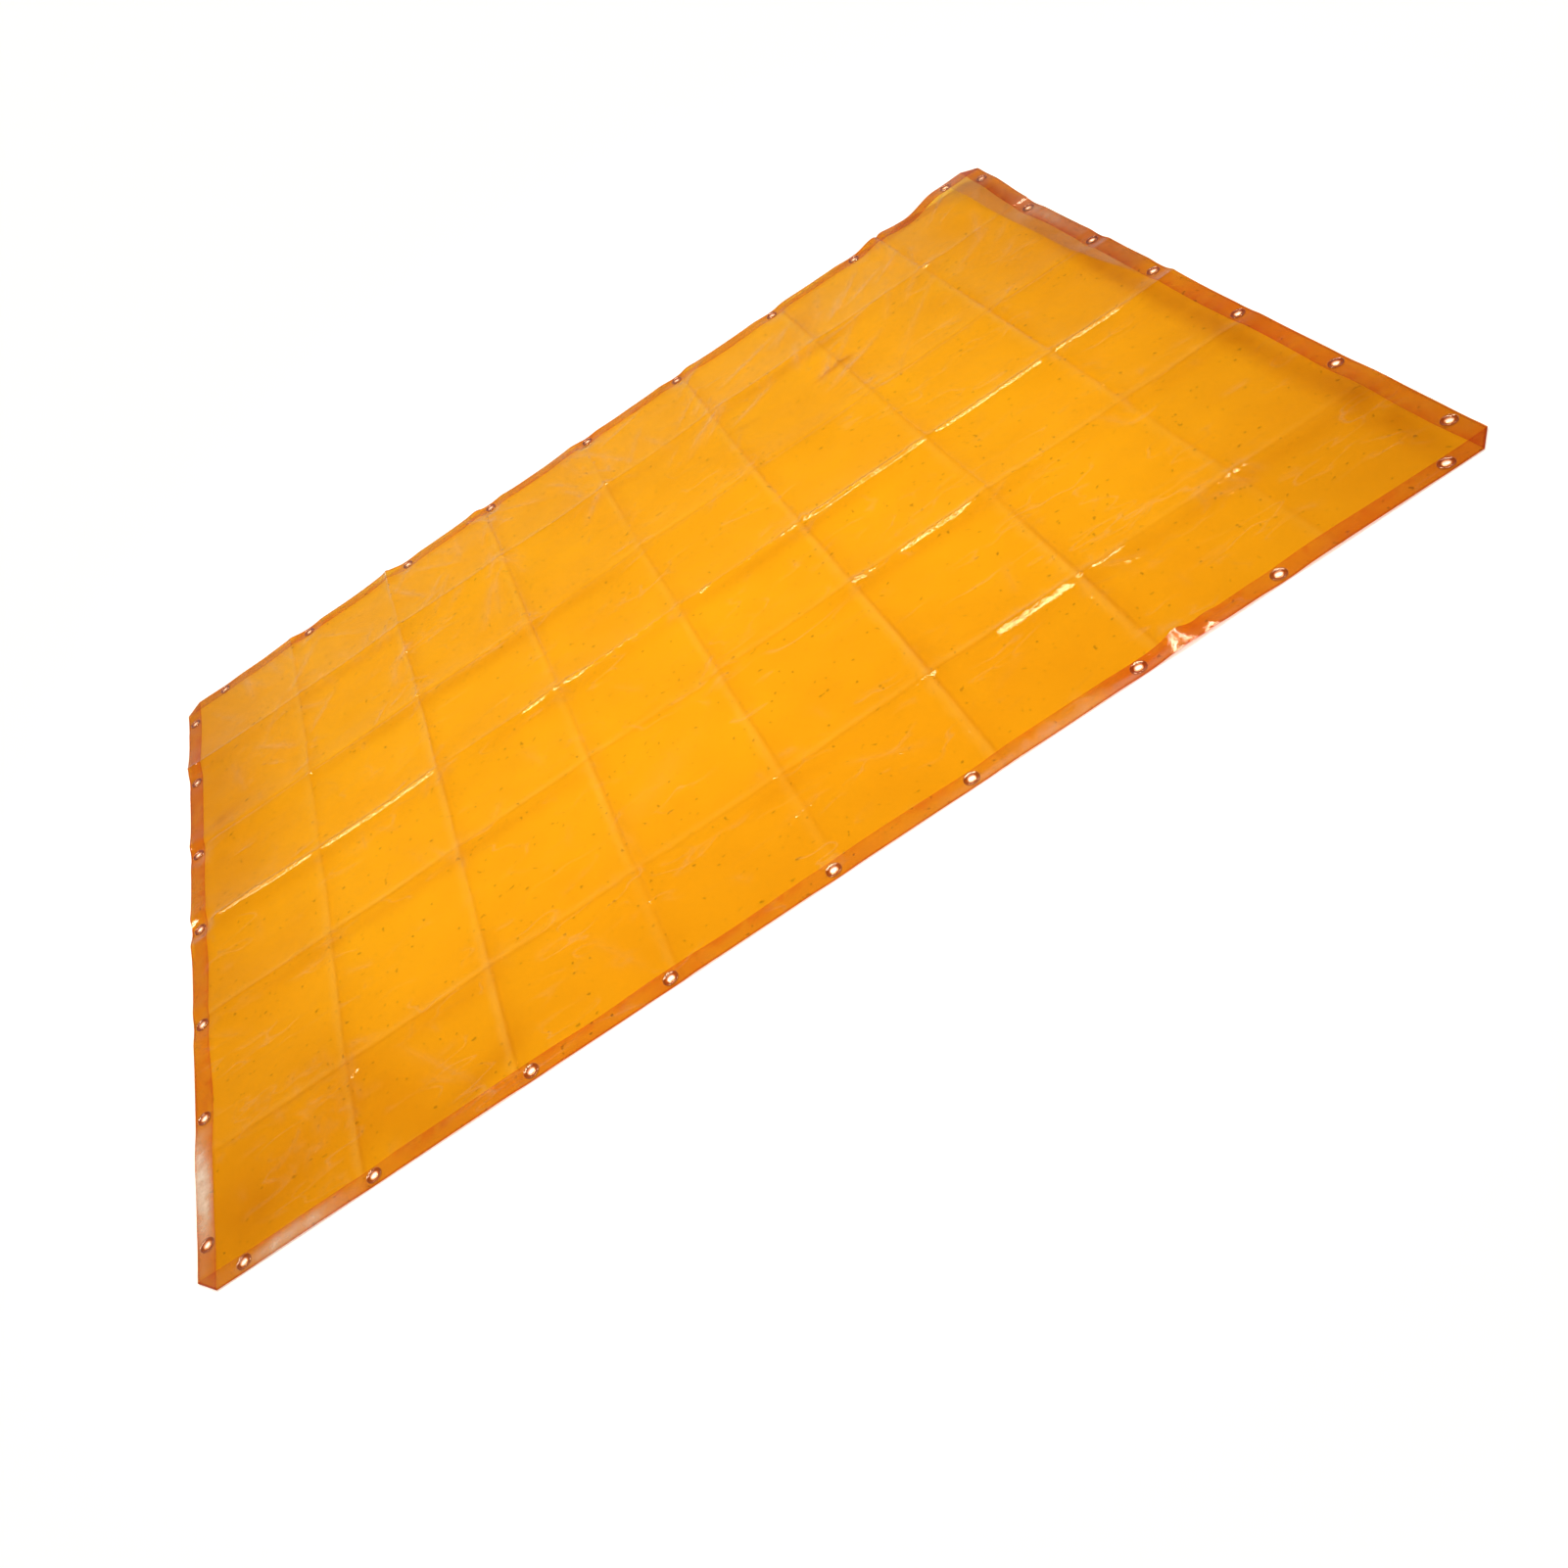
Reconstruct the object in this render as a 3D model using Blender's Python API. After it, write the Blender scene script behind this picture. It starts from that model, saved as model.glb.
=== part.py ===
"""Welding curtain sheet: an amber film panel with welded hems and eyelets, laid flat on a floor.

The sheet lies in the XY plane with its underside on Z = 0. Its long edges run along X.
The edge at -Y is called near, +Y far, -X left and +X right.
"""
import math

import bmesh
import bpy
from mathutils import Vector
from mathutils.geometry import delaunay_2d_cdt

# Sheet
SHEET_LENGTH = 2.440             # along X
SHEET_WIDTH = 1.830              # along Y
FILM_THICKNESS = 0.0004
CORNER_CUT = 0.036               # each leg of the cut-off corners

# Hems: a second layer of film welded along each edge
HEM_WIDTH = 0.040
LAYER_GAP = 0.0003               # clearance between layers that lie on each other
HEM_LAP_MARGIN = 0.006           # level stretch past the hem that a short hem climbs over
HEM_LAP_RAMP = 0.024             # length over which a short hem climbs onto a long one
LEVEL_MARGIN = 0.005             # the panel stays level this far inside the hems

# Eyelets
EYELET_BORE = 0.012
EYELET_WALL = 0.0015
EYELET_FLANGE = 0.028            # outer diameter
EYELET_FLANGE_THICKNESS = 0.0012
EYELET_EDGE_BREAK = 0.0006       # chamfer on the rims
EYELET_INSET = 0.020             # centre of an eyelet from its edge of the sheet
EYELET_END_DISTANCE = 0.090      # centre of a row's outer eyelets from the sheet's corner
EYELET_SIDES = 12

# Each row's eyelets from even spacing: they are punched by hand
ROW_OFFSETS = {
    "near": (0.0, -0.029, -0.008, -0.024, 0.002, -0.022, 0.005, -0.020, 0.002),
    "far": (0.025, 0.008, 0.035, 0.011, 0.028, 0.021, 0.030, -0.003, 0.0),
    "left": (0.010, 0.016, -0.014, 0.001, -0.012, 0.004, 0.0),
    "right": (0.006, 0.010, 0.024, 0.045, 0.018, 0.040, -0.004),
}

# Creases left by folding the sheet into a packet
CELLS_ALONG = 8
CELLS_ACROSS = 6
CREASE_RISE = 0.0035             # ridge along a crease, above the floor
MIDDLE_CREASE_RISE = 0.0075      # ridge along the sheet's long centre line

# The far right corner stands off the floor
CORNER_LIFT = 0.020
LIFT_LEVEL_MARGIN = 0.004        # the corner is level this far past its outer eyelets' flanges
LIFT_END_MARGIN = 0.011          # the ramp is back down this far before the next flanges

# Levels, from the floor up
HEM_BAND_LEVEL = EYELET_FLANGE_THICKNESS + LAYER_GAP
LAYER_PITCH = FILM_THICKNESS + LAYER_GAP
EYELET_HEIGHT = 2 * EYELET_FLANGE_THICKNESS + 2 * LAYER_PITCH + LAYER_GAP

HALF_LENGTH = SHEET_LENGTH / 2
HALF_WIDTH = SHEET_WIDTH / 2
LEVEL_BAND = HEM_WIDTH + LEVEL_MARGIN
LINE_OVERRUN = 0.001             # crease and ramp lines cross what they end on by this much
TINY = 1e-6

EDGE_NORMALS = {
    "near": Vector((0, -1)),
    "far": Vector((0, 1)),
    "left": Vector((-1, 0)),
    "right": Vector((1, 0)),
}


def clear_scene():
    for item in list(bpy.data.objects):
        bpy.data.objects.remove(item)


def film_material(name, colour, alpha):
    material = bpy.data.materials.new(name)
    material.use_nodes = True
    shader = material.node_tree.nodes["Principled BSDF"]
    shader.inputs["Base Color"].default_value = (*colour, 1.0)
    shader.inputs["Roughness"].default_value = 0.15
    shader.inputs["Metallic"].default_value = 0.0
    shader.inputs["Alpha"].default_value = alpha
    material.diffuse_color = (*colour, alpha)
    return material


def row_places(row):
    """Centres of a row's eyelets, from its low end to its high end."""
    offsets = ROW_OFFSETS[row]
    outward = EDGE_NORMALS[row]
    along = Vector((abs(outward.y), abs(outward.x)))
    half = Vector((HALF_LENGTH, HALF_WIDTH))
    half_run = half.dot(along)
    edge = outward * (half.dot(Vector((abs(outward.x), abs(outward.y)))) - EYELET_INSET)
    pitch = 2 * (half_run - EYELET_END_DISTANCE) / (len(offsets) - 1)
    start = EYELET_END_DISTANCE - half_run
    return [edge + along * (start + index * pitch + offset) for index, offset in enumerate(offsets)]


def corner_reach(point):
    """How far a point lies from the far right corner, along whichever edge is longer."""
    return max(HALF_LENGTH - point.x, HALF_WIDTH - point.y)


def lift_reaches():
    """Where the far right corner stops being level, and where its ramp is back down.

    Both are set by the eyelets of the two rows that meet there, which all lie level.
    """
    rows = [row_places(row) for row in ("far", "right")]
    outer = max(corner_reach(row[-1]) for row in rows)
    inner = min(corner_reach(row[-2]) for row in rows)
    flange = EYELET_FLANGE / 2
    return outer + flange + LIFT_LEVEL_MARGIN, inner - flange - LIFT_END_MARGIN


def edge_distance(point):
    """Distance from a point of the sheet to its nearest edge."""
    return min(HALF_LENGTH - abs(point.x), HALF_WIDTH - abs(point.y))


def corner_lift(point):
    """Rise of the far right corner: level near the corner, then a straight ramp down."""
    share = (LIFT_END - corner_reach(point)) / (LIFT_END - LIFT_LEVEL)
    return CORNER_LIFT * min(1.0, max(0.0, share))


def crease_share(offset, cells, size):
    """0 on a crease, 1 midway between two creases. The offset is from the sheet's centre."""
    place = (offset / size + 0.5) * cells
    return 2 * abs(place - round(place))


def film_level(point):
    """Height of the panel's underside above the floor."""
    if edge_distance(point) <= LEVEL_BAND + TINY:
        return HEM_BAND_LEVEL + corner_lift(point)
    share = min(
        crease_share(point.x, CELLS_ALONG, SHEET_LENGTH),
        crease_share(point.y, CELLS_ACROSS, SHEET_WIDTH),
    )
    rise = MIDDLE_CREASE_RISE if abs(point.y) < TINY else CREASE_RISE
    return rise * (1 - share) + corner_lift(point)


def sheet_outline():
    """The sheet's outline with its four corners cut off, counter-clockwise."""
    cut = CORNER_CUT
    points = []
    for sign_x, sign_y in ((-1, -1), (1, -1), (1, 1), (-1, 1)):
        on_long_edge = Vector((sign_x * (HALF_LENGTH - cut), sign_y * HALF_WIDTH))
        on_short_edge = Vector((sign_x * HALF_LENGTH, sign_y * (HALF_WIDTH - cut)))
        pair = [on_short_edge, on_long_edge] if sign_x == sign_y else [on_long_edge, on_short_edge]
        points.extend(pair)
    return points


def hem_outline(row):
    """The part of the sheet's outline that lies within a hem's width of one edge."""
    outward = EDGE_NORMALS[row]
    limit = outward.dot(Vector((outward.x * HALF_LENGTH, outward.y * HALF_WIDTH))) - HEM_WIDTH
    outline = sheet_outline()
    kept = []
    for here, after in zip(outline, outline[1:] + outline[:1]):
        depth_here = here.dot(outward) - limit
        depth_after = after.dot(outward) - limit
        if depth_here >= 0:
            kept.append(here)
        if depth_here * depth_after < 0:
            kept.append(here.lerp(after, depth_here / (depth_here - depth_after)))
    return kept


def hole_outline(centre):
    """A hole that clears an eyelet's neck, with its flats the layer gap away from it."""
    radius = (EYELET_BORE / 2 + EYELET_WALL + LAYER_GAP) / math.cos(math.pi / EYELET_SIDES)
    turns = [2 * math.pi * side / EYELET_SIDES for side in range(EYELET_SIDES)]
    return [centre + radius * Vector((math.cos(turn), math.sin(turn))) for turn in turns]


def inside(point, polygon):
    """Whether a point is inside a convex, counter-clockwise polygon."""
    for here, after in zip(polygon, polygon[1:] + polygon[:1]):
        if (after - here).cross(point - here) < 0:
            return False
    return True


def crease_lines():
    """Creases and centre points of the cells between them."""
    end_x = HALF_LENGTH - LEVEL_BAND + LINE_OVERRUN
    end_y = HALF_WIDTH - LEVEL_BAND + LINE_OVERRUN
    lines = []
    for index in range(1, CELLS_ALONG):
        x = index * SHEET_LENGTH / CELLS_ALONG - HALF_LENGTH
        lines.append((Vector((x, -end_y)), Vector((x, end_y))))
    for index in range(1, CELLS_ACROSS):
        y = index * SHEET_WIDTH / CELLS_ACROSS - HALF_WIDTH
        lines.append((Vector((-end_x, y)), Vector((end_x, y))))
    centres = [
        Vector((
            (column + 0.5) * SHEET_LENGTH / CELLS_ALONG - HALF_LENGTH,
            (line + 0.5) * SHEET_WIDTH / CELLS_ACROSS - HALF_WIDTH,
        ))
        for column in range(CELLS_ALONG)
        for line in range(CELLS_ACROSS)
    ]
    return lines, centres


def level_band_lines():
    """The inner edge of the level band, all round."""
    x = HALF_LENGTH - LEVEL_BAND
    y = HALF_WIDTH - LEVEL_BAND
    corners = [Vector((-x, -y)), Vector((x, -y)), Vector((x, y)), Vector((-x, y))]
    return list(zip(corners, corners[1:] + corners[:1]))


def lift_lines():
    """Lines across the far right corner where its ramp starts and ends."""
    lines = []
    for reach in (LIFT_LEVEL, LIFT_END):
        elbow = Vector((HALF_LENGTH - reach, HALF_WIDTH - reach))
        lines.append((Vector((elbow.x, HALF_WIDTH + LINE_OVERRUN)), elbow))
        lines.append((elbow, Vector((HALF_LENGTH + LINE_OVERRUN, elbow.y))))
    return lines


def lap_lines():
    """Lines across the short hems where they climb onto the long hems."""
    outer = HALF_LENGTH + LINE_OVERRUN
    inner = HALF_LENGTH - HEM_WIDTH - LINE_OVERRUN
    lines = []
    for reach in (HEM_WIDTH + HEM_LAP_MARGIN, HEM_WIDTH + HEM_LAP_MARGIN + HEM_LAP_RAMP):
        for y in (reach - HALF_WIDTH, HALF_WIDTH - reach):
            for side in (-1, 1):
                lines.append((Vector((side * inner, y)), Vector((side * outer, y))))
    return lines


def flat_triangles(outline, holes, lines, points):
    """Triangles that fill an outline, follow every line and leave the holes out."""
    loops = [outline] + [hole for hole in holes if inside(hole[0], outline)]
    places = []
    edges = []
    for loop in loops:
        first = len(places)
        places.extend(loop)
        edges.extend((first + side, first + (side + 1) % len(loop)) for side in range(len(loop)))
    for line in lines:
        edges.append((len(places), len(places) + 1))
        places.extend(line)
    places.extend(points)
    verts, _, faces, *_ = delaunay_2d_cdt(places, edges, [], 1, TINY)
    kept = []
    for face in faces:
        middle = sum((verts[index] for index in face), Vector((0, 0))) / len(face)
        if inside(middle, outline) and not any(inside(middle, hole) for hole in loops[1:]):
            kept.append(face)
    return verts, kept


def film_object(name, outline, holes, lines, points, level, material):
    """A closed film of even thickness whose underside follows the level function."""
    verts, faces = flat_triangles(outline, holes, lines, points)
    mesh = bpy.data.meshes.new(name)
    shape = bmesh.new()
    corners = [shape.verts.new((*vert, level(vert))) for vert in verts]
    under = [shape.faces.new([corners[index] for index in face]) for face in faces]
    grown = bmesh.ops.extrude_face_region(shape, geom=under)
    top = [item for item in grown["geom"] if isinstance(item, bmesh.types.BMVert)]
    bmesh.ops.translate(shape, vec=(0, 0, FILM_THICKNESS), verts=top)
    loose = [vert for vert in shape.verts if not vert.link_faces]
    bmesh.ops.delete(shape, geom=loose, context="VERTS")
    bmesh.ops.recalc_face_normals(shape, faces=shape.faces)
    shape.to_mesh(mesh)
    shape.free()
    mesh.materials.append(material)
    item = bpy.data.objects.new(name, mesh)
    bpy.context.collection.objects.link(item)
    return item


def long_hem_level(point):
    return HEM_BAND_LEVEL + LAYER_PITCH + corner_lift(point)


def short_hem_level(point):
    """A short hem lies on the panel, and on the long hems at its two ends."""
    from_end = HALF_WIDTH - abs(point.y)
    share = (HEM_WIDTH + HEM_LAP_MARGIN + HEM_LAP_RAMP - from_end) / HEM_LAP_RAMP
    return long_hem_level(point) + LAYER_PITCH * min(1.0, max(0.0, share))


def build_films(places):
    holes = [hole_outline(centre) for row in places.values() for centre in row]
    creases, centres = crease_lines()
    panel_lines = creases + level_band_lines() + lift_lines()
    panel_film = film_material("amber_film", (0.95, 0.36, 0.01), 0.75)
    film_object("film_panel", sheet_outline(), holes, panel_lines, centres, film_level, panel_film)

    hem_film = film_material("hem_film", (0.80, 0.20, 0.01), 0.85)
    for row in ("near", "far"):
        outline = hem_outline(row)
        film_object("hem_" + row, outline, holes, lift_lines(), [], long_hem_level, hem_film)
    short_hem_lines = lift_lines() + lap_lines()
    for row in ("left", "right"):
        outline = hem_outline(row)
        film_object("hem_" + row, outline, holes, short_hem_lines, [], short_hem_level, hem_film)


def eyelet_profile():
    """Half section of an eyelet, as radius and height: two flanges joined by a neck."""
    bore = EYELET_BORE / 2
    neck = bore + EYELET_WALL
    rim = EYELET_FLANGE / 2
    chamfer = EYELET_EDGE_BREAK
    flange = EYELET_FLANGE_THICKNESS
    top = EYELET_HEIGHT
    return [
        (bore, 0),
        (rim - chamfer, 0),
        (rim, flange),
        (neck, flange),
        (neck, top - flange),
        (rim, top - flange),
        (rim - chamfer, top),
        (bore + chamfer, top),
        (bore, top - chamfer),
    ]


def eyelet_mesh():
    """The eyelet's profile turned about Z."""
    mesh = bpy.data.meshes.new("eyelet")
    shape = bmesh.new()
    ring = [shape.verts.new((radius, 0, height)) for radius, height in eyelet_profile()]
    edges = [shape.edges.new(pair) for pair in zip(ring, ring[1:] + ring[:1])]
    bmesh.ops.spin(
        shape, geom=ring + edges, cent=(0, 0, 0), axis=(0, 0, 1),
        angle=2 * math.pi, steps=EYELET_SIDES, use_merge=True,
    )
    bmesh.ops.remove_doubles(shape, verts=shape.verts, dist=TINY)
    bmesh.ops.recalc_face_normals(shape, faces=shape.faces)
    shape.to_mesh(mesh)
    shape.free()
    mesh.shade_smooth()
    mesh.set_sharp_from_angle(angle=math.radians(35))
    mesh.materials.append(film_material("amber_eyelet", (0.90, 0.42, 0.05), 0.7))
    return mesh


def build_eyelets(places):
    mesh = eyelet_mesh()
    for row, centres in places.items():
        for number, centre in enumerate(centres, start=1):
            eyelet = bpy.data.objects.new(f"eyelet_{row}_{number}", mesh)
            eyelet.location = (*centre, corner_lift(centre))
            bpy.context.collection.objects.link(eyelet)


clear_scene()
LIFT_LEVEL, LIFT_END = lift_reaches()
eyelet_places = {row: row_places(row) for row in ROW_OFFSETS}
build_films(eyelet_places)
build_eyelets(eyelet_places)
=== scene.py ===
"""Welding curtain sheet laid flat on a pale floor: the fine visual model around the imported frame.

X runs along the sheet's long edges and Y across it. The edge at -Y is called near, +Y far.
"""
import math

import bpy
import numpy as np
from mathutils import Matrix, Vector
from mathutils.geometry import delaunay_2d_cdt


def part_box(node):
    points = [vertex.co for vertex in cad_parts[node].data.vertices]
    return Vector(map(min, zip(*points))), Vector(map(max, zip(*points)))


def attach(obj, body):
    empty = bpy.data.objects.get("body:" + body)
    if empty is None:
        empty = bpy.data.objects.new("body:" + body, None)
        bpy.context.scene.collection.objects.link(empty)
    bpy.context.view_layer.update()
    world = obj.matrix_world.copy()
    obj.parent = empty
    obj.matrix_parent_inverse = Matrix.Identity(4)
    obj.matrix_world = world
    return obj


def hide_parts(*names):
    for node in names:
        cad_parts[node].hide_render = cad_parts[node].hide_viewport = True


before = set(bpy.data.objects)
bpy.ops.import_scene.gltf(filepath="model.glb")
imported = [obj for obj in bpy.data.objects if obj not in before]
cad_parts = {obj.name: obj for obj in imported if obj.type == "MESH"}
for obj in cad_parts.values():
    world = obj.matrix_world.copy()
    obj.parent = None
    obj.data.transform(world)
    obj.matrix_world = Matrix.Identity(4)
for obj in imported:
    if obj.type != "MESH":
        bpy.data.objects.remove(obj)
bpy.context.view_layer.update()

# Sizes, from the frame
PANEL_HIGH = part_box("film_panel")[1]
HALF_LENGTH = PANEL_HIGH.x
HALF_WIDTH = PANEL_HIGH.y
HEM_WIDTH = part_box("hem_near")[1].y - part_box("hem_near")[0].y
FILM_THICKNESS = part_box("hem_near")[1].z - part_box("hem_near")[0].z
BAND_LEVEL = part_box("hem_near")[0].z
ROWS = {"near": 9, "far": 9, "left": 7, "right": 7}
LONG_ROWS = ("near", "far")
EYELETS = {
    f"eyelet_{row}_{number}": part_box(f"eyelet_{row}_{number}")
    for row, count in ROWS.items()
    for number in range(1, count + 1)
}
EYELET_CENTRES = np.array([[*((low + high) / 2).xy] for low, high in EYELETS.values()])
EYELET_RADIUS = (EYELETS["eyelet_near_1"][1].x - EYELETS["eyelet_near_1"][0].x) / 2
EYELET_HEIGHT = EYELETS["eyelet_near_1"][1].z - EYELETS["eyelet_near_1"][0].z

CORNER_CUT = 0.036
LAYER_PITCH = 0.0007             # from one layer of film to the next
FILM_LEVEL = BAND_LEVEL - LAYER_PITCH
LAP_START, LAP_END = 0.046, 0.070   # from a long edge, where a short hem climbs onto a long one
EYELET_BORE_RADIUS = 0.006
HOLE_RADIUS = 0.0081             # in the film, around an eyelet's neck

# Folds
CELLS_ALONG, CELLS_ACROSS = 8, 6
FOLD_DRIFT_ALONG = (0.023, 0.020, 0.015, 0.015, 0.012, 0.010, 0.012)
FOLD_DRIFT_ACROSS = (-0.023, 0.027, -0.002, -0.020, 0.018)


def fold_places(cells, half, drift):
    """Where the folds cross the sheet's centre line: evenly spaced, each with its own drift."""
    return [half * (2 * (index + 1) / cells - 1) + drift[index] for index in range(cells - 1)]


FOLDS_X = fold_places(CELLS_ALONG, HALF_LENGTH, FOLD_DRIFT_ALONG)
FOLDS_Y = fold_places(CELLS_ACROSS, HALF_WIDTH, FOLD_DRIFT_ACROSS)


def spline_noise(x, y, cell, seed):
    """Smooth random values from about -1 to 1, with features one cell wide."""
    size, swing = 97, 1.6
    table = np.random.default_rng(seed).uniform(-swing, swing, (size, size))
    # each seed also starts at a place of its own in its table
    u, v = x / cell + 11.3 * seed, y / cell + 5.7 * seed
    iu, iv = np.floor(u).astype(int), np.floor(v).astype(int)
    fu, fv = u - iu, v - iv

    def weights(f):
        return (
            (1 - f) ** 3 / 6,
            (3 * f ** 3 - 6 * f ** 2 + 4) / 6,
            (-3 * f ** 3 + 3 * f ** 2 + 3 * f + 1) / 6,
            f ** 3 / 6,
        )

    total = np.zeros_like(x)
    for du, wu in enumerate(weights(fu)):
        for dv, wv in enumerate(weights(fv)):
            total += wu * wv * table[(iu + du) % size, (iv + dv) % size]
    return total


def line_noise(along, cell, seed):
    """The same noise along a line."""
    return spline_noise(along, np.zeros_like(along), cell, seed)


def smooth(low, high, value):
    """0 at low and before it, 1 at high and past it, a smooth step between. Low may be the larger."""
    share = np.clip((value - low) / (high - low), 0.0, 1.0)
    return share * share * (3 - 2 * share)


def fold_offset(axis, index, along):
    """How far a fold wanders from its line. Axis 0 holds the folds across the sheet, 1 those along it."""
    seed = 40 + 10 * axis + index
    wander = 0.0045 * line_noise(along, 0.35, seed)
    return wander + 0.0012 * line_noise(along, 0.07, seed + 3)


# Each fold: the height of its crest, of the broad swell under it, and of the pair of rolls
# beside a fold that was bent the other way, then how much taller it stands at its two ends.
FOLD_SHAPES_X = (
    (0.0016, 0.0015, 0.0000, 0.3, 2.6),
    (0.0030, 0.0020, 0.0000, 0.3, 3.0),
    (0.0000, 0.0010, 0.0030, 0.3, 1.9),
    (0.0026, 0.0025, 0.0000, 0.3, 2.4),
    (0.0000, 0.0010, 0.0028, 0.3, 1.6),
    (0.0030, 0.0020, 0.0000, 0.3, 1.2),
    (0.0000, 0.0010, 0.0022, 0.3, 2.0),
)
FOLD_SHAPES_Y = (
    (0.0000, 0.0012, 0.0004, 1.2, 1.0),
    (0.0008, 0.0022, 0.0000, 1.5, 1.0),
    (0.0022, 0.0035, 0.0000, 2.2, 1.2),
    (0.0000, 0.0022, 0.0012, 2.0, 1.0),
    (0.0016, 0.0030, 0.0000, 2.6, 1.4),
)
CREST_WIDTH = 0.006
SWELL_WIDTH = 0.060
ROLL_WIDTH = 0.013
ENDS_FROM, ENDS_TO = 0.72, 0.97   # shares of the way to an edge, where a fold's end gain comes in
PLEAT_PLACE = (0.650, -0.884)     # a pinched pleat in the near hem
PLEAT_HEIGHT = 0.0085

# Stretches of the folds along the sheet where the crest stands up: fold, from, to, height, width
STEEP_STRETCHES = (
    (2, -1.075, -0.905, 0.0022, 0.0055), (2, -0.885, -0.600, 0.0030, 0.0058),
    (2, -0.385, -0.315, 0.0018, 0.0055), (2, -0.275, -0.225, 0.0024, 0.0055),
    (2, 0.330, 0.610, 0.0030, 0.0058), (2, 0.640, 0.905, 0.0025, 0.0055),
    (2, 0.935, 1.095, 0.0028, 0.0055), (1, 0.315, 0.370, 0.0014, 0.0055),
    (1, 0.420, 0.560, 0.0026, 0.0065), (0, 0.275, 0.330, 0.0014, 0.0055),
    (0, 0.620, 0.720, 0.0014, 0.0055), (1, 0.700, 0.760, 0.0012, 0.0055),
    (0, 0.895, 0.990, 0.0016, 0.0055),
)

# A stretch of the nearest fold bent into a flat facet that faces the camera: fold, from, to
FACET_STRETCH = (0, 0.440, 0.605)
FACET_WIDTH = 0.020
FACET_DROP = 0.011                # width of the short drop behind the facet
FACET_SLOPE = 0.185


def stretch_window(along, start, end, outside, inside):
    """1 along a stretch of a fold and 0 beyond it, with soft ends."""
    opening = smooth(start - outside, start + inside, along)
    return opening * (1 - smooth(end - inside, end + outside, along))


def facet_relief(x, y):
    """A ridge with an even slope on its near side and a short drop behind it."""
    fold, start, end = FACET_STRETCH
    across = y - FOLDS_Y[fold] - fold_offset(1, fold, x)
    window = stretch_window(x, start, end, 0.010, 0.014)
    ragged = 1 + 0.07 * spline_noise(x, y, 0.016, 140)
    rise = np.clip(1 + across / FACET_WIDTH, 0, 1)
    fall = np.clip(1 - across / FACET_DROP, 0, 1)
    return FACET_SLOPE * FACET_WIDTH * ragged * window * rise * fall


def fold_relief(across, shape, strength):
    """Height over a fold, at a signed distance across it."""
    crest, swell, roll = shape[:3]
    reach = np.abs(across)
    sharp = crest * np.exp(-reach / CREST_WIDTH)
    broad = swell * np.exp(-((across / SWELL_WIDTH) ** 2))
    rolls = roll * (reach / ROLL_WIDTH) * np.exp(1 - reach / ROLL_WIDTH)
    return strength * (sharp + broad + rolls)


def fold_strength(along, half, shape, seed, cell):
    """How strongly a fold shows along its length."""
    start, end = shape[3:]
    low, high = ENDS_FROM * half, ENDS_TO * half
    strength = np.clip(0.8 + 0.45 * line_noise(along, cell, seed), 0.2, 1.5)
    strength *= 1 + (start - 1) * smooth(-low, -high, along)
    return strength * (1 + (end - 1) * smooth(low, high, along))


def steep_relief(x, y):
    """The extra crest on the steep stretches, with a ragged height."""
    total = np.zeros_like(x)
    for number, (fold, start, end, height, width) in enumerate(STEEP_STRETCHES):
        across = y - FOLDS_Y[fold] - fold_offset(1, fold, x)
        window = stretch_window(x, start, end, 0.012, 0.020)
        ragged = 1 + 0.25 * line_noise(x, 0.016, 120 + number)
        total += height * ragged * window * np.exp(-((across / width) ** 2))
    return total


# Longer creases, seen one by one: from, to, height and width
LONG_CREASES = (
    ((-0.80, -0.66), (-0.65, -0.88), 0.0012, 0.0040),
    ((-0.42, -0.70), (-0.33, -0.86), 0.0007, 0.0035),
    ((0.10, -0.70), (0.26, -0.79), 0.0008, 0.0035),
    ((0.55, 0.472), (0.65, 0.482), 0.0016, 0.0030),
    ((-0.62, 0.87), (-0.50, 0.64), 0.0016, 0.0045),
    ((-0.56, 0.87), (-0.36, 0.70), 0.0013, 0.0045),
    ((-0.84, 0.86), (-0.68, 0.70), 0.0014, 0.0040),
    ((-0.28, 0.86), (-0.12, 0.74), 0.0012, 0.0045),
    ((0.02, 0.80), (0.22, 0.88), 0.0013, 0.0040),
    ((0.70, 0.33), (0.98, 0.62), 0.0010, 0.0050),
    ((0.66, 0.24), (0.86, 0.50), 0.0008, 0.0050),
    ((0.64, -0.64), (0.73, -0.69), 0.0013, 0.0030),
)
SHORT_WRINKLES, FAR_WRINKLES, CORNER_WRINKLES = 230, 84, 56


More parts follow.
